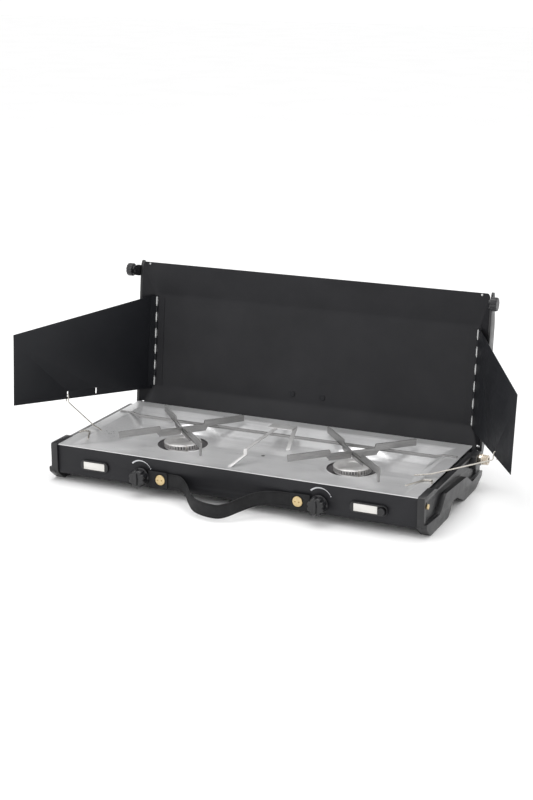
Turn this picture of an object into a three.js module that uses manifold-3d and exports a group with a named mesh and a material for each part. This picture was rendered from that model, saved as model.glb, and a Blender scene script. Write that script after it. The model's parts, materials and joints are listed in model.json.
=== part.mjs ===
// Two-burner folding camping stove, opened for cooking.
// Millimetres, +Z up, +X to the right, -Y is the front panel with the knobs.
// The working frame inside the group has its origin at the centre of the steel tray's rim plane;
// ROW_SHIFT moves it so that the exported origin is the bottom centre of the whole object's box.
import * as THREE from "three";
import { mergeVertices } from "three/addons/utils/BufferGeometryUtils.js";
import Module from "manifold-3d";

// ---------- driving dimensions ----------
const ROW_SHIFT = [-6.22, -0.09, 66.5];
const GAP = 0.3; // clearance between pieces that touch
const CASE_W = 650, CASE_D = 283.4; // steel tray outline
const SHEET = 1.2; // painted sheet
const PANEL_H = 52.5; // height of the front panel
const FOOT_Z = -66.5; // feet on the ground
const CAP_IN = 325.3, CAP_MID = 333, CAP_OUT = 337, CAP_LEDGE = 342; // end cap planes along X
const HINGE_Y = 138.5, HINGE_Z = -18.5; // lid hinge axis
const LEAN = THREE.MathUtils.degToRad(6.4); // the open lid leans back this far from upright
const TROUGH = 39.8; // depth of the lid panel behind the hinge plane
const RIM_B = 18.4; // depth of the lid rim
const LID_A = [-5.5, 44.5, 218.7, 278.6]; // lid lower lip, lower crease, upper crease, upper lip
const LID_W = 332, LID_PANEL_W = 312; // half widths at the rim and of the panel
const SCREEN_X = 311, SCREEN_B = 36.5; // windscreen hinge axis on the lid
const SCREEN_ANGLE = [64.3, 61.7]; // left and right windscreen, degrees from flat-open
const SCREEN_L = 308, SCREEN_T = 1.0;
const SLOT_L = [131.5, 193], SLOT_W = 2.6, SLOT_H = 10.5;
const BURNER_X = [-168, 154], BURNER_Y = 19, HOLE_R = 45;
const RECESS_Z = -27; // the tray's lowest line, through both burners and the drain hole
const WELL_R = [52, 66]; // flat round each burner, and where it runs out into the slopes
const BAR_HALF = 119, BAR_T = 2.5, BAR_TOP = 12; // pot support bars
const BAR_ANGLE = [[-47.1, 49.0], [-47.2, 45.6]];
const KNOB_X = [-162, 161], KNOB_Z = -34, KNOB_R = 15;
const BOLT_X = 124.5, BOLT_Z = -34.5;
const PLATE_X = [-252, 240], PLATE_Z = -29.4;
const INLET_Y = 116, INLET_Z = -13;
const WIRE_R = 1.25;

// ---------- solid helpers ----------
const wasm = await Module();
wasm.setup();
function solid(geometry) {
  const g = geometry.clone();
  g.deleteAttribute("normal");
  g.deleteAttribute("uv");
  const m = mergeVertices(g, 1e-4);
  return new wasm.Manifold(new wasm.Mesh({
    numProp: 3,
    vertProperties: new Float32Array(m.attributes.position.array),
    triVerts: new Uint32Array(m.index.array),
  }));
}
function geometryOf(manifold) {
  const m = manifold.getMesh();
  const g = new THREE.BufferGeometry();
  const v = new Float32Array(m.numVert * 3);
  for (let i = 0; i < m.numVert; i++) v.set(m.vertProperties.subarray(i * m.numProp, i * m.numProp + 3), i * 3);
  g.setAttribute("position", new THREE.BufferAttribute(v, 3));
  g.setIndex(new THREE.BufferAttribute(new Uint32Array(m.triVerts), 1));
  const flat = g.toNonIndexed();
  flat.computeVertexNormals();
  return flat;
}
const join = (...s) => s.reduce((a, b) => a.add(b));
const cut = (a, ...s) => s.reduce((x, y) => x.subtract(y), a);
const box = (x0, x1, y0, y1, z0, z1) =>
  solid(new THREE.BoxGeometry(x1 - x0, y1 - y0, z1 - z0).translate((x0 + x1) / 2, (y0 + y1) / 2, (z0 + z1) / 2));
const rodZ = (r, x, y, z0, z1, n = 20, r2 = r) =>
  solid(new THREE.CylinderGeometry(r2, r, z1 - z0, n).rotateX(Math.PI / 2).translate(x, y, (z0 + z1) / 2));
const rodY = (r, x, y0, y1, z, n = 20) =>
  solid(new THREE.CylinderGeometry(r, r, y1 - y0, n).translate(x, (y0 + y1) / 2, z));
const rodX = (r, x0, x1, y, z, n = 20) =>
  solid(new THREE.CylinderGeometry(r, r, x1 - x0, n).rotateZ(Math.PI / 2).translate((x0 + x1) / 2, y, z));
const shapeOf = (pts) => new THREE.Shape(pts.map((p) => new THREE.Vector2(p[0], p[1])));
const AX = new THREE.Matrix4().makeBasis(new THREE.Vector3(0, 1, 0), new THREE.Vector3(0, 0, 1), new THREE.Vector3(1, 0, 0));
const AY = new THREE.Matrix4().makeBasis(new THREE.Vector3(1, 0, 0), new THREE.Vector3(0, 0, 1), new THREE.Vector3(0, -1, 0));
const extrude = (shape, depth) => new THREE.ExtrudeGeometry(shape, { depth, bevelEnabled: false, steps: 1 });
// outline in (y, z), along X
const slabX = (pts, x0, x1) => solid(extrude(shapeOf(pts), x1 - x0).applyMatrix4(AX).translate(x0, 0, 0));
// outline in (x, z), along Y
const slabY = (pts, y0, y1) => solid(extrude(shapeOf(pts), y1 - y0).applyMatrix4(AY).translate(0, y1, 0));
// outline in (x, y), along Z
const slabZ = (pts, z0, z1) => solid(extrude(shapeOf(pts), z1 - z0).translate(0, 0, z0));
// outline with its corners rounded: each point is [u, v, radius]
function rounded(pts, steps = 3) {
  const out = [], n = pts.length;
  pts.forEach((p, i) => {
    const r = p[2] || 0;
    if (!r) { out.push([p[0], p[1]]); return; }
    const a = pts[(i + n - 1) % n], b = pts[(i + 1) % n];
    const da = Math.hypot(a[0] - p[0], a[1] - p[1]), db = Math.hypot(b[0] - p[0], b[1] - p[1]);
    const k = Math.min(r, da / 2.05, db / 2.05);
    const s = [p[0] + ((a[0] - p[0]) * k) / da, p[1] + ((a[1] - p[1]) * k) / da];
    const e = [p[0] + ((b[0] - p[0]) * k) / db, p[1] + ((b[1] - p[1]) * k) / db];
    for (let j = 0; j <= steps; j++) {
      const t = j / steps, q = 1 - t;
      out.push([q * q * s[0] + 2 * q * t * p[0] + t * t * e[0], q * q * s[1] + 2 * q * t * p[1] + t * t * e[1]]);
    }
  });
  return out;
}
const arc = (cx, cy, r, a0, a1, n) =>
  Array.from({ length: n + 1 }, (_, i) => {
    const a = THREE.MathUtils.degToRad(a0 + ((a1 - a0) * i) / n);
    return [cx + r * Math.cos(a), cy + r * Math.sin(a)];
  });
// closed ring turned about +Z at (x, y); profile in (radius, z), counter-clockwise
const turn = (profile, x, y, n = 28) => {
  const pts = [...profile, profile[0]].map((p) => new THREE.Vector2(p[0], p[1]));
  return solid(new THREE.LatheGeometry(pts, n).rotateX(Math.PI / 2).translate(x, y, 0));
};
// wire or tube along points
function wire(pts, r, n = 8, steps = 24, tension = 0.5, bore = 0) {
  const path = new THREE.CatmullRomCurve3(pts.map((p) => new THREE.Vector3(...p)), false, "catmullrom", tension);
  const section = new THREE.Shape(arc(0, 0, r, 0, 360, n).slice(0, n).map((p) => new THREE.Vector2(...p)));
  if (bore) section.holes.push(new THREE.Path(arc(0, 0, bore, 0, 360, n).slice(0, n).reverse().map((p) => new THREE.Vector2(...p))));
  return solid(new THREE.ExtrudeGeometry(section, { steps, extrudePath: path, bevelEnabled: false }));
}
// rod of straight stretches with short bends
function bentWire(pts, r, n = 6) {
  const path = new THREE.CurvePath();
  const v = pts.map((p) => new THREE.Vector3(...p));
  let from = v[0];
  for (let i = 1; i < v.length - 1; i++) {
    const a = v[i - 1].distanceTo(v[i]), b = v[i].distanceTo(v[i + 1]), k = Math.min(4, a / 2.2, b / 2.2);
    const s = v[i].clone().lerp(v[i - 1], k / a), e = v[i].clone().lerp(v[i + 1], k / b);
    path.add(new THREE.LineCurve3(from, s));
    path.add(new THREE.QuadraticBezierCurve3(s, v[i].clone(), e));
    from = e;
  }
  path.add(new THREE.LineCurve3(from, v[v.length - 1]));
  const section = new THREE.Shape(arc(0, 0, r, 0, 360, n).slice(0, n).map((p) => new THREE.Vector2(...p)));
  return solid(new THREE.ExtrudeGeometry(section, { steps: pts.length * 4, extrudePath: path, bevelEnabled: false }));
}

// ---------- materials ----------
const mat = (color, roughness, metalness) => new THREE.MeshStandardMaterial({ color, roughness, metalness });
const charcoal = mat(0x353538, 0.55, 0.3);
const screenPaint = mat(0x26282b, 0.45, 0.3);
const plastic = mat(0x2b2b2d, 0.45, 0.0);
const stainless = mat(0xc9c8cc, 0.28, 1.0);
const steel = mat(0xb6b4b0, 0.35, 1.0);
const brass = mat(0xd9b45f, 0.3, 1.0);
const strapSkin = mat(0x242426, 0.7, 0.0);
const aluminium = mat(0xbdbdbd, 0.4, 1.0);
const enamel = mat(0xd9d9d6, 0.35, 0.6);
const ceramic = mat(0xe8e6e0, 0.5, 0.0);
const rubber = mat(0x1c1c1c, 0.9, 0.0);

// ---------- scene graph ----------
const group = new THREE.Group();
group.name = "camping_stove";
const stove = new THREE.Group();
stove.position.set(...ROW_SHIFT);
group.add(stove);
const lid = new THREE.Group(); // local axes: x = X, y = depth behind the hinge plane, z = up along the lid
lid.position.set(0, HINGE_Y, HINGE_Z);
lid.rotation.x = -LEAN;
stove.add(lid);
function put(parent, name, s, material) {
  const m = new THREE.Mesh(geometryOf(s), material);
  m.name = name;
  parent.add(m);
  return m;
}
const SIDES = [["left", -1, 0], ["right", 1, 1]];
const halfD = CASE_D / 2, halfW = CASE_W / 2;

// ---------- lower case: one folded painted sheet, front panel, floor and rear wall ----------
{
  const o = halfD, i = halfD - SHEET, zb = -PANEL_H;
  const outline = [
    [-o, -1.5], ...rounded([[-o, zb + 9], [-o, zb, 8], [-o + 9, zb]], 4).slice(1),
    ...rounded([[o - 9, zb], [o, zb, 8], [o, zb + 9]], 4), [o, -4], [i, -4],
    ...rounded([[i, zb + 9], [i, zb + SHEET, 7], [i - 9, zb + SHEET]], 4),
    ...rounded([[-i + 9, zb + SHEET], [-i, zb + SHEET, 7], [-i, zb + 9]], 4), [-i, -1.5],
  ];
  let s = slabX(outline, -(halfW - 0.3), halfW - 0.3);
  for (const [, , k] of SIDES) {
    s = cut(s, rodY(5.5, KNOB_X[k], -halfD - 2, -halfD + 4, KNOB_Z, 20));
    if (k) s = cut(s, rodY(4.6, PLATE_X[k] + 28, -halfD - 2, -halfD + 4, PLATE_Z, 16));
  }
  for (const side of [-1, 1]) s = cut(s, rodY(3.4, side * BOLT_X, -halfD - 2, -halfD + 4, BOLT_Z, 14));
  put(stove, "lower_case", s, charcoal);
}

// ---------- pressed steel drip tray with a stepped recess and two burner holes ----------
{
  const span = (lo, hi, n) => Array.from({ length: n + 1 }, (_, i) => lo + ((hi - lo) * i) / n);
  const xs = [-325, -301, -282.5, -264, ...span(-240, -96, 12), -70, -35, 0, 30, 60, ...span(82, 226, 12), 245, 264, 282.5, 301, 325];
  const ys = [-halfD, -138, -110, -80, ...span(-53, 7, 5), 19, 30, 45, 60, 72, 84, 96, 107, 118, halfD];
  const ramp = (v, a, b) => Math.min(1, Math.max(0, (v - a) / (b - a)));
  const rear = (y) => (y >= 60 ? 0.78 * ramp(y, 118, 60) : 0.78 + 0.22 * ramp(y, 60, 30));
  const depth = (x, y) => {
    let z = RECESS_Z * Math.min(ramp(Math.abs(x), 301, 264), ramp(y, -138, 7), rear(y));
    for (const bx of BURNER_X) z = RECESS_Z + (z - RECESS_Z) * ramp(Math.hypot(x - bx, y - BURNER_Y), ...WELL_R);
    return z;
  };
  const g = new THREE.BoxGeometry(1, 1, 1, xs.length - 1, ys.length - 1, 1);
  const p = g.attributes.position;
  for (let i = 0; i < p.count; i++) {
    const x = xs[Math.round((p.getX(i) + 0.5) * (xs.length - 1))];
    const y = ys[Math.round((p.getY(i) + 0.5) * (ys.length - 1))];
    p.setXYZ(i, x, y, depth(x, y) + (p.getZ(i) > 0 ? 0 : -1.1));
  }
  let s = solid(g);
  for (const x of BURNER_X) s = cut(s, rodZ(HOLE_R, x, BURNER_Y, -60, 10, 36));
  s = cut(s, rodZ(3.5, -12, 19, -60, 10, 12)); // drain hole
  put(stove, "drip_tray", s, stainless);
}

// ---------- moulded end caps with feet ----------
const SILHOUETTE = rounded([
  [-145, 1.5, 3], [-145, -50, 6], [-125, FOOT_Z, 3], [-35, FOOT_Z, 4], [-17, -47, 4], [9, -47, 4], [50, FOOT_Z, 4],
  [114, FOOT_Z, 4], [148, -53, 4], [151, -46, 2], [151, -30, 2], [135, -3.5, 4], [-84, -3.5, 3], [-94, 1.5, 3],
], 2);
const LEDGE = rounded([
  [-145, -42, 2], [-145, -50, 6], [-125, FOOT_Z, 3], [-35, FOOT_Z, 4], [-17, -47, 4], [9, -47, 4], [50, FOOT_Z, 4],
  [114, FOOT_Z, 4], [148, -53, 4], [150, -44, 2], [92, -47, 6], [60, -27, 6], [-50, -20, 6], [-78, -46, 6],
], 2);
for (const [name, sx, k] of SIDES) {
  const X = (a, b) => (sx > 0 ? [a, b] : [-b, -a]);
  let s = slabX(SILHOUETTE, ...X(CAP_IN, CAP_MID));
  // raised rim: the silhouette less a window
  const windowed = cut(slabX(SILHOUETTE, ...X(CAP_MID - 0.5, CAP_OUT)), box(...X(CAP_MID, 350), -138, 128, -44, -7));
  s = join(s, windowed, slabX(LEDGE, ...X(CAP_MID - 0.5, CAP_LEDGE)));
  // bosses for the catch stud and, on the right, the gas inlet
  s = join(s, rodX(6.5, ...X(CAP_MID - 1, CAP_OUT), -134, -15, 16));
  if (sx > 0) {
    s = join(s, slabX(rounded([[98, -3.5, 3], [98, -28, 6], [132, -28, 6], [132, -3.5, 3]], 2), CAP_MID - 1, 345));
    s = cut(s, rodX(6.2, 320, 350, INLET_Y, INLET_Z, 18));
  }
  // pocket that the lid's ear turns in, and the pin hole
  s = cut(s, rodX(26, ...X(CAP_IN - 2, 331), HINGE_Y, HINGE_Z, 28), rodX(3.3, ...X(320, 348), HINGE_Y, HINGE_Z, 16));
  s = cut(s, rodX(2.4, ...X(330, 350), -134, -15, 12));
  put(stove, "end_cap_" + name, s, plastic);
  put(stove, "lid_hinge_pin_" + name, join(rodX(2.95, ...X(326, 337.2), HINGE_Y, HINGE_Z, 16),
    rodX(4.6, ...X(337.2 + 0.2, 338.8), HINGE_Y, HINGE_Z, 16), rodX(2.95, ...X(337, 338), HINGE_Y, HINGE_Z, 16)), steel);
  put(stove, "catch_stud_" + name, join(rodX(2.1, ...X(331, 338), -134, -15, 12), rodX(4.4, ...X(337.3, 340.5), -134, -15, 16)), brass);
}

// ---------- carry strap, its bolts ----------
{
  const line = [
    [-140.6, -143.9], [-124.5, -143.9], [-100, -144.4], [-84, -148], [-70, -158], [-57, -173], [-40, -190], [-18, -201],
    [5, -204], [20, -197], [36, -178], [50, -162], [65, -152], [85, -146.4], [105, -144.2], [124.5, -143.9], [140.6, -143.9],
  ];
  const c = new THREE.CatmullRomCurve3(line.map((p) => new THREE.Vector3(p[0], p[1], 0)));
  const N = 34, front = [], back = [];
  for (let i = 0; i <= N; i++) {
    const p = c.getPointAt(i / N), t = c.getTangentAt(i / N);
    const nx = t.y, ny = -t.x;
    front.push([p.x + nx * 1.5, p.y + ny * 1.5]);
    back.push([p.x - nx * 1.5, p.y - ny * 1.5]);
  }
  const g = extrude(shapeOf([...front, ...back.reverse()]), 24).translate(0, 0, -12);
  const q = g.attributes.position;
  for (let i = 0; i < q.count; i++) {
    const x = q.getX(i), y = q.getY(i);
    const t = Math.min(1, Math.max(0, (-146 - y) / 58));
    const drop = x < 5 ? 1 - (1 - t) ** 2.6 : t;
    q.setZ(i, q.getZ(i) + BOLT_Z - 16.5 * drop);
  }
  let s = solid(g);
  for (const side of [-1, 1]) s = cut(s, rodY(3.4, side * BOLT_X, -150, -138, BOLT_Z, 14));
  put(stove, "carry_strap", s, strapSkin);
  for (const [name, sx] of SIDES) {
    let b = join(rodY(9, sx * BOLT_X, -149.4, -145.8, BOLT_Z, 24), rodY(3, sx * BOLT_X, -146.5, -133, BOLT_Z, 12));
    for (const d of [-3.4, 3.4]) b = cut(b, rodY(1.2, sx * BOLT_X + d, -151, -148, BOLT_Z, 8));
    put(stove, "strap_bolt_" + name, b, brass);
  }
}

// ---------- front panel: bezels, plates, igniters, knobs and valves ----------
for (const [name, , k] of SIDES) {
  const px = PLATE_X[k], bx = px + 28, y = -halfD - GAP;
  let bezel = slabY(rounded([[px - 26.5, PLATE_Z + 9, 9], [px - 26.5, PLATE_Z - 9, 9], [px + (k ? 36.5 : 26.5), PLATE_Z - 9, 9], [px + (k ? 36.5 : 26.5), PLATE_Z + 9, 9]], 4), y - 4.2, y);
  bezel = cut(bezel, box(px - 20.6, px + 20.3, y - 6, y - 2.4, PLATE_Z - 6.8, PLATE_Z + 6.8));
  if (k) bezel = cut(bezel, rodY(7.2, bx, y - 8, y + 2, PLATE_Z, 20));
  put(stove, "igniter_bezel_" + name, bezel, plastic);
  put(stove, "steel_plate_" + name, box(px - 20.2, px + 19.9, y - 4.5, y - 2.7, PLATE_Z - 6.4, PLATE_Z + 6.4), steel);
  if (k) put(stove, "igniter_button", join(rodY(6.8, bx, y - 10, y - 4.9, PLATE_Z, 20), rodY(4, bx, y - 5.5, y + 8, PLATE_Z, 14)), plastic);
  // the piezo striker behind the panel, hollow to take the button's stem
  if (k) put(stove, "igniter_body", cut(rodY(8, bx, -halfD + SHEET + GAP, -104, PLATE_Z, 18), rodY(4.6, bx, -145, -122, PLATE_Z, 14)), plastic);

  const kx = KNOB_X[k];
  const flutes = [];
  for (let i = 0; i < 32; i++) {
    const a = (i / 32) * Math.PI * 2, r = KNOB_R - (i % 4 === 0 ? 2.2 : 0);
    flutes.push([kx + r * Math.cos(a), KNOB_Z + r * Math.sin(a)]);
  }
  let knob = slabY(flutes, -163.5, -148.5);
  knob = join(knob, rodY(KNOB_R + 0.8, kx, -149, -146.2, KNOB_Z, 24), box(kx - 2.4, kx + 2.4, -166, -163, KNOB_Z - 11, KNOB_Z + 11));
  knob = cut(knob, rodY(3.5, kx, -160, -140, KNOB_Z, 14));
  put(stove, "knob_" + name, knob, plastic);
  put(stove, "valve_spindle_" + name, rodY(3, kx, -159.5, -124, KNOB_Z, 14), brass);
  const valve = cut(join(box(kx - 11, kx + 11, -halfD + SHEET + GAP, -112, KNOB_Z - 5.8, KNOB_Z + 10.5), rodY(4.5, kx, -113, -104, KNOB_Z, 14)), rodY(3.5, kx, -145, -122, KNOB_Z, 14));
  put(stove, "valve_body_" + name, valve, brass);
}

// ---------- gas line ----------
put(stove, "gas_manifold", wire([
  [324.4, INLET_Y, INLET_Z], [321, INLET_Y, INLET_Z], [315, INLET_Y - 0.5, INLET_Z - 1.5], [306, INLET_Y - 4, INLET_Z - 12], [300, 98, -38], [300, 60, -44.5],
  [300, 0, -44.8], [300, -70, -44.8], [297, -108, -44.8], [282, -124, -44.8], [240, -125, -44.8], [0, -125, -44.8], [-180, -125, -44.8],
], 4, 8, 30), aluminium);
{
  let s = join(rodX(5.8, 325, 346, INLET_Y, INLET_Z, 18), rodX(10, 345.3, 353, INLET_Y, INLET_Z, 6), rodX(8.6, 353, 362, INLET_Y, INLET_Z, 22));
  s = cut(s, rodX(4.6, 350, 364, INLET_Y, INLET_Z, 16));
  put(stove, "gas_inlet_fitting", s, steel);
}

// ---------- burners ----------
for (const [name, , k] of SIDES) {
  const x = BURNER_X[k], y = BURNER_Y, t = RECESS_Z - 1.1;
  // wind bowl hanging under the tray's hole
  put(stove, "burner_bowl_" + name, turn([
    [16, -41.5], [24, -41.5], [43.5, t - 2.6], [51, t - 2.6], [51, t - GAP], [42.6, t - GAP], [23.4, -40.2], [16, -40.2],
  ], x, y, 28).subtract(rodY(7.8, x, y - 44, y - 4, -42.4, 12)).subtract(rodZ(3.1, x + 22, y - 27, -46, -26, 10)), stainless);
  put(stove, "burner_head_" + name, solid(new THREE.LatheGeometry([
    [0, -49.8], [11, -49.8], [11, -41], [13, -38], [30, -31.5], [33, -30], [33, -22], [31, -19.6], [24, -19.2], [0, -20],
  ].map((p) => new THREE.Vector2(...p)), 28).rotateX(Math.PI / 2).translate(x, y, 0)).subtract(rodY(7.7, x, y - 30, y - 6, -42.4, 14)), aluminium);
  const kx = KNOB_X[k];
  put(stove, "mixing_tube_" + name, wire([
    [kx, -102, KNOB_Z], [kx, -92, KNOB_Z - 1.5], [kx + (x - kx) * 0.5, -66, -37], [x, -44, -42], [x, -28, -42.4], [x, y - 6.6, -42.4],
  ], 7.3, 10, 9, 0.5, 5.4), steel);
  put(stove, "igniter_electrode_" + name, join(rodZ(2.6, x + 22, y - 27, -42.5, -33, 10), rodZ(0.9, x + 22, y - 27, -34, -20.5, 8)).subtract(
    box(x, x + 40, y - 60, y, -60, -42.4)), ceramic);
}

// ---------- pot supports: two crossed bars each, half-lapped at the middle ----------
for (const [name, , k] of SIDES) {
  BAR_ANGLE[k].forEach((deg, j) => {
    const pts = [
      [-BAR_HALF, 0.5], [-49, 0.5], [-43, -7.5], [43, -7.5], [49, 0.5], [BAR_HALF, 0.5], [BAR_HALF, BAR_TOP],
      [42, BAR_TOP], [40, 3], [-40, 3], [-42, BAR_TOP], [-BAR_HALF, BAR_TOP],
    ];
    let s = slabY(pts, -BAR_T / 2, BAR_T / 2);
    s = cut(s, j === 0 ? box(-3.4, 3.4, -5, 5, -2.4, 20) : box(-3.4, 3.4, -5, 5, -20, -2.1));
    if (j === 0) s = join(s, rodZ(2.2, BAR_HALF - 6, 0, -12.6, 4, 10)); // foot on the tray's front slope
    const bar = new THREE.Group();
    bar.position.set(BURNER_X[k], BURNER_Y, 0);
    bar.rotation.z = THREE.MathUtils.degToRad(deg);
    stove.add(bar);
    put(bar, "support_bar_" + name + (j ? "_turning" : "_fixed"), s, steel);
  });
}

// ---------- rail across the back of the recess, bridge strip, strut and plate ----------
{
  const rail = slabY([
    [-320, 0.3], [-298, 0.3], [-284, -6], [284, -6], [298, 0.3], [320, 0.3], [320, 2.3], [296, 2.3], [282, -1], [-282, -1], [-296, 2.3], [-320, 2.3],
  ], 68, 71);
  put(stove, "support_rail", join(rail, box(-321, -311, 66, 73, 0.3, 1.8), box(311, 321, 66, 73, 0.3, 1.8)), steel);
  // strip that stands on the front shelf and reaches back over the rail
  const yz = [[-124, -2.2], [-62, 0.3], [-60.4, 9], [74, 9], [116, 0.9], [117, 2.2], [74, 10.4], [-62, 10.4], [-63.4, 1.7], [-124, -0.8]];
  put(stove, "bridge_strip", slabX(yz, -11, -4), steel);
  put(stove, "bridge_plate", box(-22, 24, 60, 84, 10.7, 12), steel);
  put(stove, "bridge_strut", slabZ([[16, 86], [24, 86], [62, -34], [55, -36]], 8.3, 10.2), steel);
}

// ---------- wire stays that hold the windscreens, and their clips on the tray ----------
for (const [name, sx] of SIDES) {
  put(stove, "stay_clip_" + name, bentWire([
    [sx * 290, -100, 1.6], [sx * 301, -78, 1.6], [sx * 307, -64, 1.6], [sx * 321, -60, 1.6], [sx * 323, -72, 1.6],
  ], WIRE_R), steel);
  put(stove, "wire_stay_" + name, bentWire([
    [sx * 289, -56, 4.6], [sx * 302, -46, 4.6], [sx * 313, -40, 5.2], [sx * 388, 4, 21.6], [sx * 392, 6.5, 23],
  ], WIRE_R), steel);
}

// ---------- lid: pressed trough with hipped corners ----------
{
  // the profile's first point sits on the lower flange's own line
  const a0 = LID_A[0], a1 = LID_A[1], a3 = LID_A[3], a2 = LID_A[2];
  const make = (off, front) => {
    const k = off * 0.45;
    const lo = (b) => a1 - ((TROUGH - b) * (a1 - a0)) / (TROUGH - RIM_B) - k;
    const hi = (b) => a2 + ((TROUGH - b) * (a3 - a2)) / (TROUGH - RIM_B) + k;
    const wi = (b) => LID_PANEL_W + ((TROUGH - b) * (LID_W - LID_PANEL_W)) / (TROUGH - RIM_B) + k;
    const top = TROUGH + off;
    const profile = [[front, lo(front)], [top, lo(TROUGH)], [top, hi(TROUGH)], [front, hi(front)]];
    const plan = [[-wi(front), front], [wi(front), front], [wi(TROUGH), top], [-wi(TROUGH), top]];
    return slabX(profile, -380, 380).intersect(slabZ(plan, -90, 360));
  };
  let s = cut(make(SHEET, RIM_B), make(0, RIM_B - 6));
  // lower corners notched for the hinge ears
  for (const [, sx] of SIDES) s = cut(s, box(...(sx > 0 ? [325.4, 340] : [-340, -325.4]), 0, 60, -30, 16));
  put(lid, "lid_shell", s, charcoal);
}
for (const [name, sx] of SIDES) {
  const X = (a, b) => (sx > 0 ? [a, b] : [-b, -a]);
  // end cap: a thin moulded wall behind and beside the sheet's end
  const outline = rounded([
    [17.8, 18, 2], [17.8, 270, 6], [23, 281.5, 6], [30, 280, 6], [43.2, 226, 10], [43.2, 38, 10], [24, -10, 5], [19, -10, 2],
  ], 3);
  let s = slabX(outline, ...X(333.2, CAP_OUT));
  s = join(s, box(...X(326, 334), 20.5, 29, -9, 13.5)); // web to the ear, behind the base
  s = join(s, box(...X(326, 330.6), 0, 21, -9, 9), rodX(9, ...X(326, 330.6), 0, 0, 24));
  s = cut(s, rodX(3.4, ...X(320, 331), 0, 0, 16));
  put(lid, "lid_end_cap_" + name, s, plastic);

  // side latch: lever, grip and pivot rivet
  let latch = slabX(rounded([[-9, 256, 5], [-9, 271, 6], [14, 273, 6], [32, 268, 6], [32, 253, 6], [14, 252, 5]], 3), ...X(337.4, 341.2));
  latch = join(latch, slabX(rounded([[-12.5, 252.5, 7], [-12.5, 275, 7], [10.5, 276, 7], [10.5, 251.5, 7]], 3), ...X(340, 352)));
  latch = cut(latch, slabX(rounded([[-12, 258, 1], [-12, 266, 1], [-2, 266, 3], [-2, 258, 3]], 2), ...X(330, 341.4)), rodX(2.5, ...X(330, 350), 24, 260.5, 14));
  put(lid, "lid_latch_" + name, latch, plastic);
  put(lid, "latch_rivet_" + name, join(rodX(2.1, ...X(337.3, 342), 24, 260.5, 12), rodX(5.6, ...X(341.5, 343.6), 24, 260.5, 20)), brass);
  put(lid, "lid_bumper_" + name, rodY(4.2, sx * 29.5, TROUGH - 3, TROUGH - 0.3, 61, 16), rubber);
}

// ---------- windscreens on piano hinges ----------
const topA = (L) => 218 - 0.191 * L, lowA = (L) => 40.6 - 0.026 * L;
const KN0 = 47, KN1 = 213, KN_N = 11;
for (const [name, sx, k] of SIDES) {
  const pitch = (KN1 - KN0) / KN_N;
  let fixed = join(
    box(...(sx > 0 ? [296, SCREEN_X] : [-SCREEN_X, -296]), TROUGH - 0.9, TROUGH - 0.3, KN0, KN1),
    rodZ(1.2, sx * SCREEN_X, SCREEN_B, KN0, KN1, 8),
  );
  for (let i = 0; i < KN_N; i += 2) {
    const z0 = KN0 + i * pitch, z1 = z0 + pitch;
    fixed = join(fixed, rodZ(2.2, sx * SCREEN_X, SCREEN_B, z0, z1, 8),
      box(...(sx > 0 ? [SCREEN_X - 2, SCREEN_X + 0.6] : [-SCREEN_X - 0.6, -SCREEN_X + 2]), SCREEN_B, TROUGH - 0.4, z0, z1));
  }
  put(lid, "windscreen_hinge_" + name, fixed, screenPaint);

  const screen = new THREE.Group();
  screen.position.set(sx * SCREEN_X, SCREEN_B, 0);
  screen.rotation.z = sx < 0 ? Math.PI + THREE.MathUtils.degToRad(SCREEN_ANGLE[0]) : -THREE.MathUtils.degToRad(SCREEN_ANGLE[1]);
  lid.add(screen);
  const outline = [[3.2, lowA(3.2)], [304.5, lowA(304.5)], [SCREEN_L, 148], [SCREEN_L, 153], [SCREEN_L - 6, topA(SCREEN_L - 6)], [3.2, topA(3.2)]];
  let s = slabY(outline, -SCREEN_T / 2, SCREEN_T / 2);
  for (let i = 1; i < KN_N; i += 2) {
    const z0 = KN0 + i * pitch + 0.5, z1 = KN0 + (i + 1) * pitch - 0.5;
    s = join(s, rodZ(2.2, 0, 0, z0, z1, 8), box(0, 4, -0.5, 0.5, z0, z1));
  }
  s = cut(s, rodZ(1.65, 0, 0, 0, 260, 8));
  for (const L of SLOT_L) s = cut(s, box(L - SLOT_W / 2, L + SLOT_W / 2, -3, 3, lowA(L) + 3.6, lowA(L) + 3.6 + SLOT_H));
  put(screen, "windscreen_" + name, s, screenPaint);
}

export default group;
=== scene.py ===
import bpy, bmesh, json, math
import numpy as np
from mathutils import Vector, Matrix


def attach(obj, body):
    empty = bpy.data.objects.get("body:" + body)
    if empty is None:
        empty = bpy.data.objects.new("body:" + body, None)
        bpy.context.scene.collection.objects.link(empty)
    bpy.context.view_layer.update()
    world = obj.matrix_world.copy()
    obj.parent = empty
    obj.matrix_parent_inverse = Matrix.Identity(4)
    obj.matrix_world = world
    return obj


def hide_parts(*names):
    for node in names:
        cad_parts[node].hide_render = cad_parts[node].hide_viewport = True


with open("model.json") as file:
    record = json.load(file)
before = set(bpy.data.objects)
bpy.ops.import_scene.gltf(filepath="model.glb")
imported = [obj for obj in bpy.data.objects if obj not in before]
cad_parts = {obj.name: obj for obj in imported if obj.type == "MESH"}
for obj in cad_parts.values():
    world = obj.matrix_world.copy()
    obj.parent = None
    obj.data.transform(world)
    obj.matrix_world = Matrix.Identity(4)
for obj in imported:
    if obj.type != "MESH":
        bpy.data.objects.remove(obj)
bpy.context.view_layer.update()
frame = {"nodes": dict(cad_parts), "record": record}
NODES = frame["nodes"]
BODY_OF = {n: b for b, ns in frame["record"]["behaviour"]["bodies"].items() for n in ns}
SLOT_OF = {s["node"]: s["material_slot"] for s in frame["record"]["subparts"]}
SHIFT = (-6.22, -0.09, 66.5)          # working frame (tray rim centre, mm) to the row frame
rad = math.radians
LEAN = rad(6.4)
HALF_D, HALF_W = 141.7, 325.0
done = set()                          # CAD nodes that a detailed piece stands for

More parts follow.
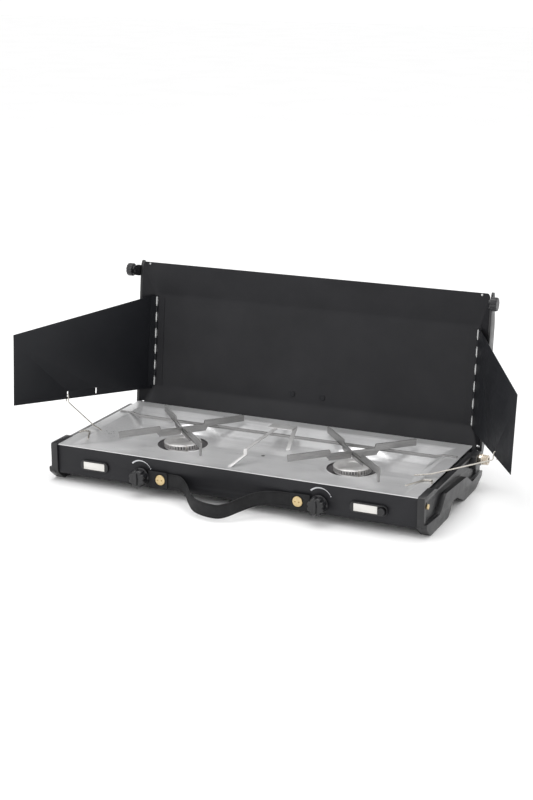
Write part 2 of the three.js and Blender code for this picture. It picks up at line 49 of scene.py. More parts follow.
def R(p):
    return Vector(((p[0] + SHIFT[0]) / 1000, (p[1] + SHIFT[1]) / 1000, (p[2] + SHIFT[2]) / 1000))
def lid(x, b, a):                     # lid-local (x, depth, height along the lid) to the working frame
    return (x, 138.5 + b * math.cos(LEAN) + a * math.sin(LEAN), -18.5 - b * math.sin(LEAN) + a * math.cos(LEAN))
SCREEN = {"left": (-311, math.pi + rad(64.3)), "right": (311, -rad(61.7))}
def scr(side, L, t, a):               # screen-local (length, thickness, height) to the working frame
    x0, phi = SCREEN[side]
    return lid(x0 + math.cos(phi) * L - math.sin(phi) * t, 36.5 + math.sin(phi) * L + math.cos(phi) * t, a)

# ------------------------------------------------------------------ materials
MATS = {}
def new_mat(name):
    m = bpy.data.materials.new(name); m.use_nodes = True
    nt = m.node_tree; b = nt.nodes["Principled BSDF"]
    MATS[name] = m
    return m, nt, b
def node(nt, kind, **kw):
    n = nt.nodes.new(kind)
    for k, v in kw.items():
        if k in n.inputs: n.inputs[k].default_value = v
        else: setattr(n, k, v)
    return n
def coords(nt, scale=(1, 1, 1), rot=(0, 0, 0)):
    tc = node(nt, "ShaderNodeTexCoord"); mp = node(nt, "ShaderNodeMapping")
    mp.inputs["Scale"].default_value = scale; mp.inputs["Rotation"].default_value = rot
    nt.links.new(tc.outputs["Object"], mp.inputs["Vector"])
    return mp.outputs["Vector"]
def noise(nt, vec, scale, detail=4, rough=0.55):
    n = node(nt, "ShaderNodeTexNoise"); n.inputs["Scale"].default_value = scale
    n.inputs["Detail"].default_value = detail; n.inputs["Roughness"].default_value = rough
    nt.links.new(vec, n.inputs["Vector"]); return n.outputs["Fac"]
def ramp(nt, fac, a, b, lo=0.35, hi=0.65):
    r = node(nt, "ShaderNodeValToRGB")
    r.color_ramp.elements[0].position = lo; r.color_ramp.elements[1].position = hi
    r.color_ramp.elements[0].color = (*a, 1); r.color_ramp.elements[1].color = (*b, 1)
    nt.links.new(fac, r.inputs["Fac"]); return r.outputs["Color"]
def mapr(nt, fac, a, b, lo=0.3, hi=0.7):
    r = node(nt, "ShaderNodeMapRange"); r.inputs["From Min"].default_value = lo; r.inputs["From Max"].default_value = hi
    r.inputs["To Min"].default_value = a; r.inputs["To Max"].default_value = b
    nt.links.new(fac, r.inputs["Value"]); return r.outputs["Result"]
def bump(nt, b, heights, strength, dist):
    prev = None
    for h, d in zip(heights, dist):
        bp = node(nt, "ShaderNodeBump"); bp.inputs["Strength"].default_value = strength; bp.inputs["Distance"].default_value = d
        nt.links.new(h, bp.inputs["Height"])
        if prev is not None: nt.links.new(prev, bp.inputs["Normal"])
        prev = bp.outputs["Normal"]
    nt.links.new(prev, b.inputs["Normal"])
def voronoi(nt, vec, scale, feature="F1"):
    n = node(nt, "ShaderNodeTexVoronoi"); n.feature = feature; n.inputs["Scale"].default_value = scale
    nt.links.new(vec, n.inputs["Vector"]); return n.outputs["Distance"]

def paint(name, a, b, rough, spec=0.5, coat=0.0):
    m, nt, s = new_mat(name)
    v = coords(nt)
    big = noise(nt, v, 9, 5); fine = noise(nt, v, 1600, 2); mid = noise(nt, v, 420, 3)
    nt.links.new(ramp(nt, big, a, b), s.inputs["Base Color"])
    nt.links.new(mapr(nt, noise(nt, v, 26, 6), rough - 0.05, rough + 0.06), s.inputs["Roughness"])
    s.inputs["Specular IOR Level"].default_value = spec
    s.inputs["Coat Weight"].default_value = coat; s.inputs["Coat Roughness"].default_value = 0.3
    bump(nt, s, [fine, mid], 0.35, [0.00012, 0.0002])
    return m
def brushed(name, a, b, r0, r1, stretch=(6, 900, 900), metal=1.0, aniso=0.0, streak=0.00003, spot=14):
    m, nt, s = new_mat(name)
    v = coords(nt); st = coords(nt, stretch)
    line = noise(nt, st, 1.0, 3, 0.6); cloud = noise(nt, v, spot, 5)
    mix = node(nt, "ShaderNodeMath"); mix.operation = "MULTIPLY_ADD"; mix.inputs[1].default_value = 0.45
    nt.links.new(line, mix.inputs[0]); half = node(nt, "ShaderNodeMath"); half.operation = "MULTIPLY"; half.inputs[1].default_value = 0.55
    nt.links.new(cloud, half.inputs[0]); nt.links.new(half.outputs[0], mix.inputs[2])
    nt.links.new(ramp(nt, mix.outputs[0], a, b, 0.38, 0.62), s.inputs["Base Color"])
    nt.links.new(mapr(nt, mix.outputs[0], r0, r1, 0.35, 0.65), s.inputs["Roughness"])
    s.inputs["Metallic"].default_value = metal
    s.inputs["Anisotropic"].default_value = aniso
    bump(nt, s, [line, noise(nt, v, 30, 2)], 0.5, [streak, 0.0002])
    return m
def moulded(name, a, b, rough, grain=1400, depth=0.00012, spec=0.5):
    m, nt, s = new_mat(name)
    v = coords(nt)
    nt.links.new(ramp(nt, noise(nt, v, 22, 5), a, b), s.inputs["Base Color"])
    nt.links.new(mapr(nt, noise(nt, v, 60, 4), rough - 0.06, rough + 0.07), s.inputs["Roughness"])
    s.inputs["Specular IOR Level"].default_value = spec
    bump(nt, s, [voronoi(nt, v, grain), noise(nt, v, 90, 3)], 0.4, [depth, 0.00015])
    return m

paint("charcoal_paint", (0.0128, 0.0128, 0.0150), (0.0174, 0.0174, 0.0200), 0.50, 0.27)
paint("screen_paint", (0.0072, 0.0079, 0.0102), (0.0098, 0.0104, 0.0130), 0.46, 0.30)
moulded("black_plastic", (0.009, 0.009, 0.0102), (0.015, 0.015, 0.0168), 0.36)
moulded("cap_plastic", (0.011, 0.011, 0.0122), (0.018, 0.018, 0.0196), 0.33, 1100, 0.0001, 0.5)
brushed("stainless", (0.67, 0.67, 0.675), (0.78, 0.78, 0.785), 0.27, 0.36, (5, 700, 700), 0.6, 0.0, 0.00002)
# burner bowls in dark steel: painted shade, darkened so the bowl's inside shows as the dark crescents round the burner
# head
brushed("bowl_steel_painted_shade", (0.16, 0.155, 0.16), (0.27, 0.26, 0.265), 0.35, 0.5, (60, 60, 800), 1.0)
# pot support bars: a darker copy of the bridge's steel, a painted dark reflection
brushed("stainless_bar", (0.27, 0.268, 0.266), (0.38, 0.376, 0.374), 0.30, 0.42, (60, 60, 900), 0.9)
brushed("bridge_steel", (0.60, 0.595, 0.59), (0.74, 0.735, 0.73), 0.30, 0.42, (60, 60, 900), 0.6)
brushed("steel", (0.5, 0.5, 0.5), (0.6, 0.6, 0.6), 0.3, 0.42, (300, 300, 300), 1.0)
brushed("wire_steel", (0.46, 0.44, 0.40), (0.62, 0.59, 0.54), 0.25, 0.36, (200, 200, 200), 1.0)
brushed("nickel_steel", (0.62, 0.55, 0.46), (0.78, 0.72, 0.63), 0.2, 0.32, (400, 400, 400), 1.0)
brushed("brushed_plate", (0.66, 0.65, 0.62), (0.80, 0.78, 0.75), 0.32, 0.44, (12, 500, 1500), 0.85)
brushed("brass", (0.54, 0.41, 0.21), (0.68, 0.54, 0.31), 0.26, 0.38, (700, 700, 90), 1.0)
brushed("aluminium", (0.60, 0.60, 0.60), (0.72, 0.72, 0.72), 0.35, 0.48, (300, 300, 300), 1.0)
brushed("burner_alloy", (0.62, 0.61, 0.60), (0.80, 0.79, 0.78), 0.34, 0.48, (500, 500, 500), 0.9)
moulded("rubber", (0.012, 0.012, 0.012), (0.02, 0.02, 0.02), 0.6, 900)
moulded("ceramic", (0.78, 0.75, 0.70), (0.86, 0.84, 0.80), 0.22, 500, 0.00004)
moulded("print_white", (0.52, 0.53, 0.55), (0.66, 0.67, 0.69), 0.5, 900, 0.00002)
# flat black for hollows: painted shade inside the burner head and in the gas inlet's bore
moulded("painted_shade_black", (0.006, 0.006, 0.006), (0.010, 0.010, 0.010), 0.7, 900)
def leather():
    m, nt, s = new_mat("strap_leather")
    v = coords(nt)
    nt.links.new(ramp(nt, noise(nt, v, 40, 6), (0.007, 0.007, 0.0078), (0.014, 0.014, 0.0152)), s.inputs["Base Color"])
    s.inputs["Specular IOR Level"].default_value = 0.28
    nt.links.new(mapr(nt, noise(nt, v, 120, 5), 0.58, 0.72), s.inputs["Roughness"])
    bump(nt, s, [voronoi(nt, v, 900, "F1"), noise(nt, v, 260, 6), noise(nt, v, 40, 3)], 0.5, [0.00025, 0.0002, 0.0004])
leather()

# ------------------------------------------------------------------ mesh helpers
def link(name, verts, faces):
    me = bpy.data.meshes.new(name)
    me.from_pydata([R(v) for v in verts], [], faces); me.update()
    o = bpy.data.objects.new(name, me)
    bpy.context.scene.collection.objects.link(o)
    return o
def apply_all(o):
    bpy.context.view_layer.update()
    dg = bpy.context.evaluated_depsgraph_get()
    me = bpy.data.meshes.new_from_object(o.evaluated_get(dg), preserve_all_data_layers=False, depsgraph=dg)
    o.modifiers.clear(); o.data = me
def clean(o, tidy=True, merge=0.00001):
    bm = bmesh.new(); bm.from_mesh(o.data)
    bmesh.ops.remove_doubles(bm, verts=bm.verts, dist=merge)
    if tidy:
        bmesh.ops.dissolve_limit(bm, angle_limit=rad(0.6), use_dissolve_boundaries=False, verts=bm.verts, edges=bm.edges)
    bmesh.ops.recalc_face_normals(bm, faces=bm.faces)
    bm.to_mesh(o.data); bm.free()
def piece(o, body, mat, replaces=(), bevel=0.0, seg=2, limit=32, smooth=38, tidy=False):
    clean(o, tidy)
    if bevel:
        b = o.modifiers.new("bevel", "BEVEL"); b.width = bevel / 1000; b.segments = seg
        b.limit_method = "ANGLE"; b.angle_limit = rad(limit); b.harden_normals = False; b.use_clamp_overlap = True
        apply_all(o)
    for p in o.data.polygons: p.use_smooth = True
    o.data.set_sharp_from_angle(angle=rad(smooth))
    o.data.materials.clear(); o.data.materials.append(MATS[mat])
    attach(o, body)
    if replaces:
        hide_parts(*replaces); done.update(replaces)
    return o
def refine(n, mat=None, bevel=0.4, seg=2, limit=32, smooth=38):
    """A copy of a CAD node with softened edges, which stands for it."""
    me = NODES[n].data.copy()
    o = bpy.data.objects.new(n + "_fine", me); bpy.context.scene.collection.objects.link(o)
    return piece(o, BODY_OF[n], mat or SLOT_OF[n], (n,), bevel, seg, limit, smooth, tidy=True)
def prism(name, pts, w0, w1, fn):
    """Outline pts (u, v) between w0 and w1; fn(u, v, w) gives the working frame."""
    n = len(pts)
    v = [fn(u, q, w0) for u, q in pts] + [fn(u, q, w1) for u, q in pts]
    f = [tuple(range(n))[::-1], tuple(range(n, 2 * n))] + [(i, (i + 1) % n, n + (i + 1) % n, n + i) for i in range(n)]
    return link(name, v, f)
def fillet(pts, steps=4):
    out, n = [], len(pts)
    for i, p in enumerate(pts):
        r = p[2] if len(p) > 2 else 0
        if not r: out.append((p[0], p[1])); continue
        a, b = pts[i - 1], pts[(i + 1) % n]
        da, db = math.hypot(a[0] - p[0], a[1] - p[1]), math.hypot(b[0] - p[0], b[1] - p[1])
        k = min(r, da / 2.05, db / 2.05)
        s = (p[0] + (a[0] - p[0]) * k / da, p[1] + (a[1] - p[1]) * k / da); e = (p[0] + (b[0] - p[0]) * k / db, p[1] + (b[1] - p[1]) * k / db)
        for j in range(steps + 1):
            t = j / steps; q = 1 - t
            out.append((q * q * s[0] + 2 * q * t * p[0] + t * t * e[0], q * q * s[1] + 2 * q * t * p[1] + t * t * e[1]))
    return out
def lathe(name, prof, fn, n=64, mod=None):
    """Closed profile (r, h) turned; points on the axis are merged later. fn(u, v, h)."""
    v, f, m = [], [], len(prof)
    for i in range(n):
        t = 2 * math.pi * i / n
        for j, (r, h) in enumerate(prof):
            q = mod(r, h, t, j) if mod else r
            v.append(fn(q * math.cos(t), q * math.sin(t), h))
    for i in range(n):
        for j in range(m if prof[0][0] > 0.001 else m - 1):
            a, b = i * m + j, i * m + (j + 1) % m
            c, d = ((i + 1) % n) * m + (j + 1) % m, ((i + 1) % n) * m + j
            f.append((a, b, c, d))
    return link(name, v, f)
def smooth_path(pts, n=12):
    P = [Vector(p) for p in pts]; P = [2 * P[0] - P[1]] + P + [2 * P[-1] - P[-2]]
    out = []
    for i in range(1, len(P) - 2):
        a, b, c, d = P[i - 1], P[i], P[i + 1], P[i + 2]
        for k in range(n):
            t = k / n
            out.append(0.5 * ((2 * b) + (c - a) * t + (2 * a - 5 * b + 4 * c - d) * t * t + (3 * b - a - 3 * c + d) * t ** 3))
    return out + [P[-2]]
def bends(pts, r=4.0, n=7):
    P = [Vector(p) for p in pts]; out = [P[0]]
    for i in range(1, len(P) - 1):
        a, p, b = P[i - 1], P[i], P[i + 1]
        k = min(r, (a - p).length / 2.1, (b - p).length / 2.1)
        s, e = p + (a - p).normalized() * k, p + (b - p).normalized() * k
        for j in range(n + 1):
            t = j / n; out.append(s * (1 - t) ** 2 + p * 2 * t * (1 - t) + e * t * t)
    return out + [P[-1]]
def tube(name, path, r, n=14, round_end=True):
    path = [Vector(p) for p in path]
    v, f = [], []
    t0 = (path[1] - path[0]).normalized()
    up = Vector((0, 0, 1)) if abs(t0.z) < 0.9 else Vector((1, 0, 0))
    x = t0.cross(up).normalized()
    rings = []
    L = len(path)
    for i, p in enumerate(path):
        t = (path[min(i + 1, L - 1)] - path[max(i - 1, 0)]).normalized()
        x = (x - t * x.dot(t)).normalized(); y = t.cross(x)
        rings.append((p, x.copy(), y, t, r))
    if round_end:
        p, x0, y0, t, _ = rings[0]
        head = [(p - t * r * math.sin(a), x0, y0, t, r * math.cos(a)) for a in (rad(75), rad(50), rad(25))]
        p, x1, y1, t, _ = rings[-1]
        tail = [(p + t * r * math.sin(a), x1, y1, t, r * math.cos(a)) for a in (rad(25), rad(50), rad(75))]
        rings = head + rings + tail
    for p, x0, y0, t, q in rings:
        for k in range(n):
            a = 2 * math.pi * k / n
            v.append(tuple(p + x0 * (q * math.cos(a)) + y0 * (q * math.sin(a))))
    for i in range(len(rings) - 1):
        for k in range(n):
            f.append((i * n + k, i * n + (k + 1) % n, (i + 1) * n + (k + 1) % n, (i + 1) * n + k))
    f.append(tuple(range(n))[::-1]); f.append(tuple(range((len(rings) - 1) * n, len(rings) * n)))
    return link(name, v, f)
def boolean(o, cutter, op="DIFFERENCE"):
    clean(o, False); clean(cutter, False)
    b = o.modifiers.new("cut", "BOOLEAN"); b.operation = op; b.object = cutter; b.solver = "EXACT"
    apply_all(o)
    bpy.data.objects.remove(cutter, do_unlink=True)
def boxobj(name, x0, x1, y0, y1, z0, z1, fn=lambda x, y, z: (x, y, z)):
    return prism(name, [(x0, y0), (x1, y0), (x1, y1), (x0, y1)], z0, z1, fn)
def joined(name, objs):
    bm = bmesh.new()
    for o in objs: bm.from_mesh(o.data)
    me = bpy.data.meshes.new(name); bm.to_mesh(me); bm.free()
    for o in objs: bpy.data.objects.remove(o, do_unlink=True)
    o = bpy.data.objects.new(name, me); bpy.context.scene.collection.objects.link(o)
    return o
ident = lambda x, y, z: (x, y, z)

SIDES = (("left", -1, 0), ("right", 1, 1))
BURNER = [(-168, 19), (154, 19)]
KNOB = [-162, 161]; KNOB_Z = -34; PLATE = [-252, 240]; PLATE_Z = -29.4; BOLT_X, BOLT_Z = 124.5, -34.5

# ------------------------------------------------------------------ stainless drip tray
def tray():
    def lines(lo, hi, step, dense):
        s = set(np.round(np.arange(lo, hi + 0.01, step), 2)) | {lo, hi}
        for a, b, st in dense: s |= set(np.round(np.arange(a, b + 0.01, st), 2))
        s = sorted(s); out = [s[0]]
        for q in s[1:]:
            if q - out[-1] > 0.8: out.append(q)
        out[-1] = hi
        return out
    xs = lines(-325, 325, 5, [(-306, -296, 1.25), (-269, -259, 1.25), (259, 269, 1.25), (296, 306, 1.25), (-325, -322, 1.5), (322, 325, 1.5)])
    ys = lines(-141.7, 141.7, 4, [(-141, -132, 1.25), (2, 12, 1.5), (26, 34, 1.5), (56, 64, 1.25), (113, 123, 1.25)])
    def soft(v, r):                       # clamp to 0..1 with rounded corners
        def hinge(t): return 0 if t < -r else (t if t > r else (t + r) ** 2 / (4 * r))
        return min(1, hinge(v) - hinge(v - 1))
    def h(x, y):
        m = min(soft((301 - abs(x)) / 37.0, 0.10), soft((y + 138) / 145.0, 0.02), 0.78 * soft((118 - y) / 58.0, 0.05) + 0.22 * soft((60 - y) / 30.0, 0.1))
        d = -27 * m
        for bx, by in BURNER:             # flat well with a faint stiffening ring round each burner hole
            q = math.hypot(x - bx, y - by)
            d = -27 + (d + 27) * soft((q - 52) / 14.0, 0.15)
            d += 0.6 * math.exp(-((q - 50.5) / 2.2) ** 2)
        return d
    v, f = [], []
    ny = len(ys)
    for x in xs:
        for y in ys: v.append((x, y, h(x, y)))
    for i in range(len(xs) - 1):
        for j in range(ny - 1):
            f.append((i * ny + j, (i + 1) * ny + j, (i + 1) * ny + j + 1, i * ny + j + 1))
    o = link("drip_tray_pressed", v, f)
    s = o.modifiers.new("thick", "SOLIDIFY"); s.thickness = 0.0011; s.offset = -1
    apply_all(o)
    for (bx, by), r in ((BURNER[0], 45), (BURNER[1], 45), ((-12, 19), 3.5)):
        boolean(o, lathe("cut", [(0, -50), (r, -50), (r, 20), (0, 20)], lambda x, y, z: (bx + x, by + y, z), 72 if r > 10 else 24))
    piece(o, "base", "stainless", ("drip_tray",), 0, smooth=40)
    # rolled edge round each burner hole
    for k, (side, _, _) in enumerate(SIDES):
        bx, by = BURNER[k]
        prof = [(45.0 + 0.75 * math.cos(a), -26.9 + 0.75 * math.sin(a)) for a in [2 * math.pi * i / 10 for i in range(10)]]
        piece(lathe("tray_hole_edge_" + side, prof, lambda x, y, z: (bx + x, by + y, z), 96), "base", "stainless")
tray()

# ------------------------------------------------------------------ lid shell, pressed with rounded creases
def lid_shell():
    P = [(-312, 39.8, 44.5), (312, 39.8, 44.5), (312, 39.8, 218.7), (-312, 39.8, 218.7)]
    Q = [(-332, 18.4, -5.5), (332, 18.4, -5.5), (332, 18.4, 278.6), (-332, 18.4, 278.6)]
    v = [lid(*p) for p in P + Q]
    o = link("lid_shell_pressed", v, [(0, 1, 2, 3), (4, 5, 1, 0), (5, 6, 2, 1), (6, 7, 3, 2), (7, 4, 0, 3)])
    bm = bmesh.new(); bm.from_mesh(o.data)
    es = [e for e in bm.edges if len(e.link_faces) == 2]
    bmesh.ops.bevel(bm, geom=es, offset=0.0042, offset_type="OFFSET", segments=5, profile=0.5, affect="EDGES", clamp_overlap=True)
    bmesh.ops.recalc_face_normals(bm, faces=bm.faces)
    bm.to_mesh(o.data); bm.free()
    o.data.update()
    back = Vector(R(lid(0, 60, 130))) - Vector(R(lid(0, 0, 130)))
    big = max(o.data.polygons, key=lambda p: p.area)
    s = o.modifiers.new("thick", "SOLIDIFY"); s.thickness = 0.0012; s.offset = 1 if big.normal.dot(back) > 0 else -1
    s.use_even_offset = True
    apply_all(o)
    for sx in (-1, 1):
        x0, x1 = sorted((sx * 325.4, sx * 345))
        boolean(o, prism("cut", [(x0, 0), (x1, 0), (x1, 60), (x0, 60)], -30, 16, lambda x, b, a: lid(x, b, a)))
    piece(o, "lid", "charcoal_paint", ("lid_shell",), 0, smooth=50)
lid_shell()
for side, sx, k in SIDES:                # corner rivets of the lid's rim
    prof = [(0, 0.6), (2.1, 0.6), (2.1, -0.2), (1.7, -0.75), (0.9, -1.05), (0, -1.1)]
    piece(lathe("lid_corner_rivet_" + side, prof, lambda u, w, h, sx=sx: lid(sx * 318 + u, 18.9 + h, 275.6 + w), 20), "lid", "steel")

# ------------------------------------------------------------------ windscreens and piano hinges
KN0, KN1, KNN = 47.0, 213.0, 11
pitch = (KN1 - KN0) / KNN
topA = lambda L: 218 - 0.191 * L
lowA = lambda L: 40.6 - 0.026 * L
for side, sx, k in SIDES:
    fs = lambda L, a, t, side=side: scr(side, L, t, a)
    outline = [(4.2, lowA(4.2)), (304.5, lowA(304.5)), (307.4, 146), (308, 159), (4.2, topA(4.2))]
    sheet = prism("windscreen_sheet_" + side, outline, -0.5, 0.5, fs)
    for L in (131.5, 193.0):
        boolean(sheet, prism("cut", fillet([(L - 1.3, lowA(L) + 3.6, 1.2), (L + 1.3, lowA(L) + 3.6, 1.2), (L + 1.3, lowA(L) + 14.1, 1.2), (L - 1.3, lowA(L) + 14.1, 1.2)]), -3, 3, fs))
    clean(sheet, True)
    m = sheet.modifiers.new("b", "BEVEL"); m.width = 0.00022; m.segments = 2; m.limit_method = "ANGLE"; m.angle_limit = rad(50); apply_all(sheet)
    parts = [sheet]
    # the leaf of the hinge
    parts.append(prism("leaf", fillet([(3.4, KN0 - 2, 1), (15, KN0 - 2, 2), (15, KN1 + 2, 2), (3.4, KN1 + 2, 1)]), 0.55, 1.05, fs))
    for i in range(1, KNN, 2):
        z0, z1 = KN0 + i * pitch + 1.6, KN0 + (i + 1) * pitch - 1.6
        ring = [(2.2, z0), (2.2, z1), (1.55, z1), (1.55, z0)]
        parts.append(lathe("kn", ring, lambda x, y, h, side=side: scr(side, x, y, h), 20))
        parts.append(prism("tab", [(1.4, z0), (5, z0), (5, z1), (1.4, z1)], 0.3, 1.0, fs))
    o = joined("windscreen_panel_" + side, parts)
    piece(o, "windscreen_" + side, "screen_paint", ("windscreen_" + side,), 0, smooth=40)
    # fixed leaf on the lid with its knuckles, and the bright pin; the bright steel of these knuckles and the pin,
    # between the dark screen knuckles, paints the highlight dashes along the hinge
    fl = lambda x, a, b: lid(x, b, a)
    x0, x1 = sorted((sx * 296.0, sx * 310.4))
    piece(prism("screen_hinge_leaf_" + side, fillet([(x0, KN0, 2), (x1, KN0, 1), (x1, KN1, 1), (x0, KN1, 2)]), 38.9, 39.5, fl), "lid", "charcoal_paint", ("windscreen_hinge_" + side,), 0, smooth=40)
    parts = []
    for i in range(0, KNN, 2):
        z0, z1 = KN0 + i * pitch + (1.6 if i else 0), KN0 + (i + 1) * pitch - (1.6 if i < KNN - 1 else 0)
        parts.append(lathe("kn", [(2.2, z0), (2.2, z1), (1.55, z1), (1.55, z0)], lambda x, y, h, sx=sx: lid(sx * 311 + x, 36.5 + y, h), 20))
        a0, a1 = sorted((sx * 308.9, sx * 311.2))
        parts.append(prism("tab", [(a0, z0), (a1, z0), (a1, z1), (a0, z1)], 38.3, 39.4, fl))
    piece(joined("screen_hinge_knuckles_" + side, parts), "lid", "steel", (), 0, smooth=40)
    pin = lathe("screen_hinge_pin_" + side, [(0, KN0 - 0.8), (1.2, KN0 - 0.8), (1.35, KN0 - 0.4), (1.35, KN1 + 0.4), (1.2, KN1 + 0.8), (0, KN1 + 0.8)], lambda x, y, h, sx=sx: lid(sx * 311 + x, 36.5 + y, h), 16)
    piece(pin, "lid", "steel")

# ------------------------------------------------------------------ carry strap
def strap():
    line = [(-140.6, -143.9), (-124.5, -143.9), (-100, -144.4), (-84, -148), (-70, -158), (-57, -173), (-40, -190), (-18, -201),
            (5, -204), (20, -197), (36, -178), (50, -162), (65, -152), (85, -146.4), (105, -144.2), (124.5, -143.9), (140.6, -143.9)]
    path = smooth_path([(x, y, 0) for x, y in line], 9)
    # half thickness across the width: rounded edge, sewn-down border groove, crowned middle
    prof = []
    W = 12.0
    us = [0, 0.25, 0.6, 1.1, 1.7, 2.1, 2.5, 3.2, 4.5, 7, 9.5, 12]
    def th(u):
        e = min(1, u / 1.4); t = 1.35 * math.sqrt(max(0, 1 - (1 - e) ** 2))
        t += 0.15 * math.sin(math.pi * min(1, u / 12) / 2)
        if 1.5 < u < 3.0: t -= 0.32 * math.sin(math.pi * (u - 1.5) / 1.5)
        return max(t, 0.12)
    half = [(-W + u, th(u)) for u in us]
    across = half + [(-w, t) for w, t in reversed(half[:-1])]
    sec = [(w, t) for w, t in across] + [(w, -t) for w, t in reversed(across)]
    v, f, m = [], [], len(sec)
    L = len(path)
    dist = [0.0]
    for i in range(1, L): dist.append(dist[-1] + (path[i] - path[i - 1]).length)
    total = dist[-1]
    for i, p in enumerate(path):
        t = (path[min(i + 1, L - 1)] - path[max(i - 1, 0)]).normalized()
        nx, ny = t.y, -t.x
        s = min(1, max(0, (-146 - p.y) / 58)); drop = 16.5 * (1 - (1 - s) ** 2.6 if p.x < 5 else s)
        d = min(dist[i], total - dist[i])
        shrink = 1.0 if d > 6 else 1 - (1 - math.sqrt(max(0.0, 1 - (1 - d / 6) ** 2))) * 0.5   # rounded tab ends
        for w, q in sec:
            z = BOLT_Z - drop + w * shrink
            v.append((p.x + nx * q, p.y + ny * q, z))
    for i in range(L - 1):
        for j in range(m):
            f.append((i * m + j, (i + 1) * m + j, (i + 1) * m + (j + 1) % m, i * m + (j + 1) % m))
    f.append(tuple(range(m))); f.append(tuple(range((L - 1) * m, L * m))[::-1])
    o = link("strap_leather_band", v, f)
    piece(o, "base", "strap_leather", ("carry_strap",), 0, smooth=60)
    # stitched border: short raised stitches in the grooves
    parts = []
    s = 3.0
    while s < total - 3:
        for i in range(L - 1):
            if dist[i + 1] >= s: break
        q = (s - dist[i]) / (dist[i + 1] - dist[i]); p = path[i].lerp(path[i + 1], q)
        t = (path[min(i + 2, L - 1)] - path[max(i - 1, 0)]).normalized(); nx, ny = t.y, -t.x
        e = min(1, max(0, (-146 - p.y) / 58)); drop = 16.5 * (1 - (1 - e) ** 2.6 if p.x < 5 else e)
        for w in (-W + 2.25, W - 2.25):
            c = (p.x + nx * 1.2, p.y + ny * 1.2, BOLT_Z - drop + w)
            if min(abs(p.x - BOLT_X), abs(p.x + BOLT_X)) > 9.5:
                parts.append(prism("st", [(-1.15, -0.26), (1.15, -0.26), (1.35, 0), (1.15, 0.26), (-1.15, 0.26), (-1.35, 0)], -0.1, 0.34,
                                   lambda u, z, h, c=c, t=t, nx=nx, ny=ny: (c[0] + t.x * u + nx * h, c[1] + t.y * u + ny * h, c[2] + z)))
        s += 3.6
    piece(joined("strap_stitches", parts), "base", "strap_leather", (), 0, smooth=60)
    for side, sx, k in SIDES:              # stiff end tabs under the bolts
        x0, x1 = sorted((sx * 111.5, sx * 146.5))
        o = prism("strap_end_tab_" + side, fillet([(x0, -50, 2.5), (x1, -50, 2.5), (x1, -21, 2.5), (x0, -21, 2.5)]), -148.0, -145.4, lambda x, z, y: (x, y, z))
        boolean(o, lathe("cut", [(0, -150), (9.8, -150), (9.8, -144), (0, -144)], lambda u, w, h, sx=sx: (sx * BOLT_X + u, h, BOLT_Z + w), 48))
        piece(o, "base", "strap_leather", (), 0.5, 2, 50, 45)
strap()

